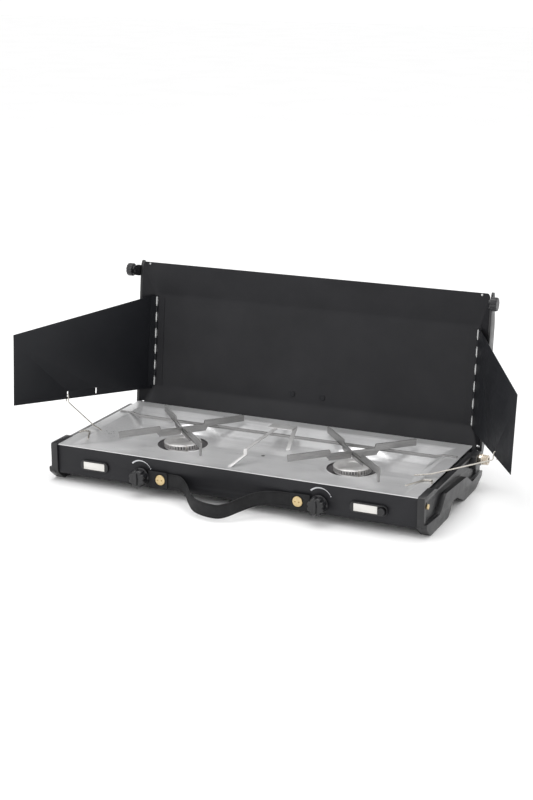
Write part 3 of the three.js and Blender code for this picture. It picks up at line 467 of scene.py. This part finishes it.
# ------------------------------------------------------------------ front panel: knobs, arcs, bolts, plates
for side, sx, k in SIDES:
    kx = KNOB[k]
    FY = lambda u, w, h, kx=kx: (kx + u, h, KNOB_Z + w)
    def fl(r, h, t, j):
        if r < 10 or h > -148.3: return r
        return r - 2.2 * max(0.0, math.cos(8 * t)) ** 1.4
    prof = [(0, -146.3), (15.2, -146.3), (15.6, -146.7), (15.6, -147.8), (15.2, -148.2), (14.9, -148.9), (15.0, -150), (15.0, -156), (14.8, -160.4), (14.3, -162.1),
            (13.4, -163.1), (11.5, -163.5), (6, -163.4), (0, -163.3)]
    body = lathe("k", prof, FY, 192, fl)
    grip = prism("g", fillet([(-2.1, -11, 1.6), (2.1, -11, 1.6), (2.6, 0, 2), (2.1, 11, 1.6), (-2.1, 11, 1.6), (-2.6, 0, 2)], 3), -166, -163, lambda u, w, h, kx=kx: (kx + u, h, KNOB_Z + w))
    clean(grip); m = grip.modifiers.new("b", "BEVEL"); m.width = 0.0008; m.segments = 3; m.limit_method = "ANGLE"; m.angle_limit = rad(50); apply_all(grip)
    piece(joined("knob_fluted_" + side, [body, grip]), "knob_" + side, "black_plastic", ("knob_" + side,), 0, smooth=45)
    line = prism("knob_mark_" + side, fillet([(-0.5, 4, .3), (0.5, 4, .3), (0.5, 10, .3), (-0.5, 10, .3)], 2), -166.1, -165.9, lambda u, w, h, kx=kx: (kx + u, h, KNOB_Z + w))
    piece(line, "knob_" + side, "black_plastic")
    # printed arc above the knob, tapering to a dot
    cx = (-164.5, 160.5)[k]
    n = 40; outer, inner = [], []
    for i in range(n + 1):
        q = i / n; a = rad(136 - 104 * q); w = 1.3 - 1.0 * q
        outer.append((cx + (21.3 + w) * math.cos(a), -29 + (21.3 + w) * math.sin(a))); inner.append((cx + (21.3 - w) * math.cos(a), -29 + (21.3 - w) * math.sin(a)))
    arc = prism("arc", outer + inner[::-1], -141.86, -141.66, lambda u, w, h: (u, h, w))
    dx, dz = cx + 21.3 * math.cos(rad(26)), -29 + 21.3 * math.sin(rad(26))
    dot = prism("dot", [(dx + 0.9 * math.cos(2 * math.pi * i / 16), dz + 0.9 * math.sin(2 * math.pi * i / 16)) for i in range(16)], -141.86, -141.66, lambda u, w, h: (u, h, w))
    piece(joined("dial_arc_" + side, [arc, dot]), "base", "print_white")
    # brass strap bolt with two pin holes
    bx = sx * BOLT_X
    prof = [(0, -145.9), (8.7, -145.9), (9.0, -146.3), (9.0, -148.4), (8.6, -149.0), (7.7, -149.35), (4, -149.55), (0, -149.6)]
    b = lathe("b", prof, lambda u, w, h, bx=bx: (bx + u, h, BOLT_Z + w), 64); clean(b)
    for d in (-3.4, 3.4):
        boolean(b, lathe("cut", [(0, -151), (1.25, -151), (1.25, -147.8), (0, -147.8)], lambda u, w, h, bx=bx, d=d: (bx + d + u, h, BOLT_Z + w), 20))
    shaft = lathe("s", [(0, -146.0), (3, -146.0), (3, -133.2), (2.6, -132.8), (0, -132.8)], lambda u, w, h, bx=bx: (bx + u, h, BOLT_Z + w), 24)
    piece(joined("strap_bolt_turned_" + side, [b, shaft]), "base", "brass", ("strap_bolt_" + side,), 0, smooth=40)
    refine("igniter_bezel_" + side, bevel=0.7, seg=3)
    refine("steel_plate_" + side, bevel=0.35, seg=2)
    if k == 0: continue
    # round igniter button, shallow dish, on the right plate only
    px = PLATE[k] + 28; y = -142.0
    prof = [(0, y + 8), (3.8, y + 8), (3.8, y - 5.4), (6.0, y - 5.4), (6.3, y - 5.8), (6.3, y - 8.9), (6.0, y - 9.6), (5.4, y - 10), (4.4, y - 9.9), (2.5, y - 9.3), (0, y - 9.1)]
    piece(lathe("igniter_push", prof, lambda u, w, h, px=px: (px + u, h, PLATE_Z + w), 48), "igniter", "black_plastic", ("igniter_button",), 0, smooth=40)

# ------------------------------------------------------------------ pot supports
def teeth(x0, x1, top, pitch=2.6, depth=0.9):
    n = max(2, int(round(abs(x1 - x0) / pitch))); out = []
    for i in range(n):
        a, b = x0 + (x1 - x0) * i / n, x0 + (x1 - x0) * (i + 1) / n
        out += [(a, top), (a + (b - a) * 0.45, top), (a + (b - a) * 0.55, top - depth), (a + (b - a) * 0.92, top - depth)]
    return out + [(x1, top)]
ANG = [[-47.1, 49.0], [-47.2, 45.6]]
for side, sx, k in SIDES:
    for j, deg in enumerate(ANG[k]):
        lap = [(3.4, -7.5), (3.4, -2.1), (-3.4, -2.1), (-3.4, -7.5)] if j else []
        uplap = [(-3.4, 3), (-3.4, -2.4), (3.4, -2.4), (3.4, 3)] if not j else []
        low = fillet([(-119, 0.5, 1.2), (-49, 0.5, 1.5), (-43, -7.5, 1.5)], 3)
        bot = low + (list(reversed(lap)) if lap else []) + [(x * -1, z) for x, z in reversed(low)]
        right_top = [(x, z) for x, z in reversed(teeth(44, 117.6, 12))]
        up = [(119, 10.8), (118.4, 12)] + right_top + fillet([(42.5, 12, 1.0), (40, 3, 2.0)], 3)
        left = fillet([(-40, 3, 2.0), (-42.5, 12, 1.0)], 3) + teeth(-44, -117.6, 12) + [(-118.4, 12), (-119, 10.8)]
        pts = bot + up + list(reversed(uplap)) + left
        c, s_ = math.cos(rad(deg)), math.sin(rad(deg)); bx, by = BURNER[k]
        o = prism("pot_support_%s_%s" % (side, "turning" if j else "fixed"), pts, -1.25, 1.25, lambda u, z, w, c=c, s=s_, bx=bx, by=by: (bx + c * u - s * w, by + s * u + c * w, z))
        n = "support_bar_%s_%s" % (side, "turning" if j else "fixed")
        # the bars' darker steel is a painted dark reflection
        piece(o, BODY_OF[n], "stainless_bar", (n,), 0.22, 2, 55, 35)
        if not j:                          # foot on the tray's front slope
            foot = lathe("pot_support_foot_" + side, [(0, -12.5), (1.8, -12.5), (2.2, -12.0), (2.2, 3.6), (1.8, 4), (0, 4)], lambda x, y, h, c=c, s=s_, bx=bx, by=by: (bx + c * 113 + x, by + s * 113 + y, h), 24)
            piece(foot, "base", "stainless_bar")

# ------------------------------------------------------------------ burners
for side, sx, k in SIDES:
    bx, by = BURNER[k]
    C = lambda x, y, h, bx=bx, by=by: (bx + x, by + y, h)
    t = -28.1
    prof = [(16, -41.5), (24, -41.5), (28, -38.6), (43.5, t - 3.2), (46, t - 2.2), (51, t - 1.6), (51, t - 0.4), (46.2, t - 0.7), (42.9, t - 1.9), (27.6, -37.4), (23.4, -40.2), (16, -40.2)]
    o = lathe("burner_bowl_spun_" + side, prof, C, 96)
    boolean(o, prism("cut", [(bx + 7.8 * math.cos(rad(a)), -42.4 + 7.8 * math.sin(rad(a))) for a in range(0, 360, 20)], by - 44, by - 4, lambda u, z, w: (u, w, z)))
    boolean(o, prism("cut", [(bx + 22 + 3.1 * math.cos(rad(a)), by - 27 + 3.1 * math.sin(rad(a))) for a in range(0, 360, 30)], -46, -26, lambda u, w, z: (u, w, z)))
    # the bowl's dark steel is painted shade
    piece(o, "base", "bowl_steel_painted_shade", ("burner_bowl_" + side,), 0, smooth=40)
    # head: cast body, ported crown with radial slots, and a cap
    prof = [(0, -49.8), (11, -49.8), (11, -41.5), (13.2, -38.3), (20, -35.2), (30, -31.5), (32.2, -30.4), (32.6, -29.6), (32.2, -29.0), (27, -28.6), (0, -28.6)]
    body = lathe("b", prof, C, 96); clean(body)
    boolean(body, prism("cut", [(bx + 7.7 * math.cos(rad(a)), -42.4 + 7.7 * math.sin(rad(a))) for a in range(0, 360, 20)], by - 30, by - 6, lambda u, z, w: (u, w, z)))
    parts = [body]
    N = 40
    for i in range(N):
        a = 2 * math.pi * i / N; ca, sa = math.cos(a), math.sin(a)
        parts.append(prism("t", [(27.5, -1.25), (32.4, -1.62), (32.4, 1.62), (27.5, 1.25)], -28.9, -22.0, lambda u, w, h, ca=ca, sa=sa, bx=bx, by=by: (bx + ca * u - sa * w, by + sa * u + ca * w, h)))
    prof = [(0, -22.3), (30.6, -22.3), (32.7, -22.0), (33.0, -21.4), (32.6, -20.6), (30.8, -19.9), (25, -19.3), (17, -19.5), (15.5, -20.3), (12, -20.5), (0, -20.4)]
    parts.append(lathe("c", prof, C, 96))
    # black filling inside the crown: painted shade of the hollow behind the slots
    inner = [(0, -29), (26.9, -29), (26.9, -22), (0, -22)]
    piece(lathe("burner_port_painted_shade_" + side, inner, C, 48), "base", "painted_shade_black")
    piece(joined("burner_head_ported_" + side, parts), "base", "burner_alloy", ("burner_head_" + side,), 0, smooth=38)
    # ceramic electrode with a bent wire tip
    cer = lathe("e", [(0, -42.4), (2.6, -42.4), (2.6, -34.2), (2.2, -33.4), (1.4, -33.0), (0, -33.0)], lambda x, y, h, bx=bx, by=by: (bx + 22 + x, by - 27 + y, h), 24)
    piece(cer, "base", "ceramic", ("igniter_electrode_" + side,))
    piece(tube("igniter_wire_" + side, bends([(bx + 22, by - 27, -34), (bx + 22, by - 27, -24.5), (bx + 21.2, by - 26, -20.6)], 2), 0.8, 10), "base", "wire_steel")

# ------------------------------------------------------------------ wire stays and their clips
for side, sx, k in SIDES:
    slot_a = lowA(193) + 8.2
    inner = scr(side, 193, 3.6 * (1 if side == "left" else -1), slot_a)
    tin, tout = (2.6, -3.4) if side == "left" else (-2.6, 3.4)
    # the screen's face towards the cook
    pin_ = scr(side, 193, tin, lowA(193) + 1.0); pup = scr(side, 193, tin, slot_a); pout = scr(side, 193, tout, slot_a); ptip = scr(side, 193, tout, lowA(193) - 4.5)
    pts = [(sx * 289, -56, 4.6), (sx * 302, -46, 4.6), (sx * 313, -40, 5.2), (pin_[0] - sx * 0.6, pin_[1] - 0.4, 26.5), pup, pout, ptip]
    o = tube("wire_stay_hooked_" + side, bends(pts, 3.2), 1.1, 14)
    piece(o, "stay_" + side, "wire_steel", ("wire_stay_" + side,), 0, smooth=60)
    pts = [(sx * 290, -100, 1.7), (sx * 301, -78, 1.7), (sx * 307, -64, 1.7), (sx * 321, -60, 1.7), (sx * 323, -72, 1.7)]
    o = tube("stay_clip_wire_" + side, bends(pts, 4), 1.25, 12)
    piece(o, "base", "wire_steel", ("stay_clip_" + side,), 0, smooth=60)

# ------------------------------------------------------------------ lid latches, bumpers, end caps
for side, sx, k in SIDES:
    FX = lambda b, a, w, sx=sx: lid(sx * w, b, a)
    lever = prism("l", fillet([(-8.5, 256, 5), (-8.5, 271, 6), (14, 273, 6), (32, 268, 6), (32, 253, 6), (14, 252, 5)]), 337.5, 341.1, FX)
    for c in (prism("cut", fillet([(-12, 258, 1), (-12, 266, 1), (-2, 266, 3), (-2, 258, 3)]), 330, 341.05, FX),
              lathe("cut", [(0, 330), (2.6, 330), (2.6, 350), (0, 350)], lambda u, w, h, sx=sx: lid(sx * h, 24 + u, 260.5 + w), 24)):
        clean(lever); boolean(lever, c)
    clean(lever, True); m = lever.modifiers.new("b", "BEVEL"); m.width = 0.0006; m.segments = 3; m.limit_method = "ANGLE"; m.angle_limit = rad(40); apply_all(lever)
    # ribbed grip
    prof = [(0, 341.0), (11.4, 341.0), (12.2, 341.6), (12.3, 350.2), (11.5, 351.6), (9.8, 352), (3, 351.6), (0, 351.5)]
    def lob(r, h, t, j): return r if r < 5 else r - 0.95 * max(0, math.cos(12 * t)) ** 0.7
    grip = lathe("g", prof, lambda u, w, h, sx=sx: lid(sx * h, -1.0 + u * 0.93, 264.2 + w * 0.96), 144, lob)
    piece(joined("lid_latch_ribbed_" + side, [lever, grip]), "latch_" + side, "black_plastic", ("lid_latch_" + side,), 0, smooth=42)
    prof = [(0, 337.3), (2.1, 337.3), (2.1, 341.3), (5.5, 341.3), (5.7, 341.8), (5.2, 342.9), (3.6, 343.5), (0, 343.7)]
    piece(lathe("latch_rivet_turned_" + side, prof, lambda u, w, h, sx=sx: lid(sx * h, 24 + u, 260.5 + w), 40), "latch_" + side, "brass", ("latch_rivet_" + side,))
    prof = [(0, 38.3), (4.9, 38.3), (5.4, 38.7), (5.4, 39.6), (0, 39.6)]
    piece(lathe("lid_bumper_moulded_" + side, prof, lambda u, w, h, sx=sx: lid(sx * 29.5 + u, h, 61 + w), 32), "lid", "screen_paint", ("lid_bumper_" + side,))
    refine("end_cap_" + side, "cap_plastic", 0.9, 3)
    refine("lid_end_cap_" + side, "cap_plastic", 0.8, 3)
    refine("catch_stud_" + side, bevel=0.5); refine("lid_hinge_pin_" + side, bevel=0.4)

# ------------------------------------------------------------------ the rest keeps the CAD shape with softened edges
refine("lower_case", bevel=0.35, seg=2, limit=40)
refine("support_rail", bevel=0.3)
refine("bridge_strip", "bridge_steel", bevel=0.3); refine("bridge_plate", "bridge_steel", bevel=0.4); refine("bridge_strut", "bridge_steel", bevel=0.3)

# ------------------------------------------------------------------ gas inlet
Y0, Z0 = 116, -13
TX = lambda u, w, h: (h, Y0 + u, Z0 + w)
prof = [(0, 325), (5.8, 325), (5.8, 345.4), (0, 345.4)]
stem = lathe("s", prof, TX, 40)
hexa = prism("h", [(10 * math.cos(rad(60 * i + 30)), 10 * math.sin(rad(60 * i + 30))) for i in range(6)], 345.3, 353, lambda u, w, h: (h, Y0 + u, Z0 + w))
clean(hexa); m = hexa.modifiers.new("b", "BEVEL"); m.width = 0.0008; m.segments = 2; m.limit_method = "ANGLE"; m.angle_limit = rad(30); apply_all(hexa)
ringp = [(4.6, 350.2), (4.6, 361.4), (5.2, 362), (7.9, 362), (8.6, 361.2)]
x = 361.0
while x > 354.6: ringp += [(8.6, x), (8.15, x - 0.5), (8.6, x - 1.0)]; x -= 1.2
ringp += [(8.6, 353.4), (8.2, 352.8), (7.2, 352.6), (7.2, 350.2)]
nut = lathe("n", ringp, TX, 64)
piece(joined("gas_inlet_turned", [stem, hexa, nut]), "base", "nickel_steel", ("gas_inlet_fitting",), 0, smooth=35)
# black disc in the bore: painted shade of the hollow inlet
piece(lathe("gas_inlet_bore", [(0, 350.4), (4.5, 350.4), (4.5, 350.9), (0, 350.9)], TX, 32), "base", "painted_shade_black")

# ------------------------------------------------------------------ materials on the CAD nodes that stay
for n, o in NODES.items():
    if n in done: continue
    o.data.materials.clear(); o.data.materials.append(MATS[SLOT_OF[n]])

# ------------------------------------------------------------------ floor, light, camera
fm, nt, s = new_mat("floor_white")
nt.links.new(ramp(nt, noise(nt, coords(nt), 3, 3), (0.94, 0.94, 0.94), (0.96, 0.96, 0.96)), s.inputs["Base Color"]); s.inputs["Roughness"].default_value = 0.9; s.inputs["Specular IOR Level"].default_value = 0.1
bm = bmesh.new(); bmesh.ops.create_grid(bm, x_segments=8, y_segments=8, size=14)
me = bpy.data.meshes.new("floor"); bm.to_mesh(me); bm.free(); floor = bpy.data.objects.new("floor", me)
bpy.context.scene.collection.objects.link(floor); me.materials.append(fm)
w = bpy.data.worlds.new("studio"); bpy.context.scene.world = w; w.use_nodes = True
bg = w.node_tree.nodes["Background"]; bg.inputs["Color"].default_value = (1, 1, 1, 1); bg.inputs["Strength"].default_value = 1.05
def area(name, loc, target, size, power, col=(1, 1, 1)):
    l = bpy.data.lights.new(name, "AREA"); l.shape = "RECTANGLE"; l.size, l.size_y = size; l.energy = power; l.color = col
    o = bpy.data.objects.new(name, l); bpy.context.scene.collection.objects.link(o)
    o.location = loc; o.rotation_euler = (Vector(target) - Vector(loc)).to_track_quat("-Z", "Y").to_euler()
area("top_softbox", (-0.3, 0.3, 2.4), (0, 0, 0.1), (2.4, 1.8), 26)
area("front_left", (-1.8, -2.2, 1.6), (0, 0, 0.1), (1.4, 1.4), 9)
cam = bpy.data.cameras.new("camera"); cam.lens = 70.0; cam.sensor_width = 36; cam.clip_end = 60; cam.clip_start = 0.05
co = bpy.data.objects.new("camera", cam); bpy.context.scene.collection.objects.link(co)
co.location = (1.03948, -2.30259, 0.89945); co.rotation_euler = (rad(90 - 16.58), 0, rad(24.36))
bpy.context.scene.camera = co
bpy.context.scene.view_settings.view_transform = "Standard"

bpy.context.view_layer.update()
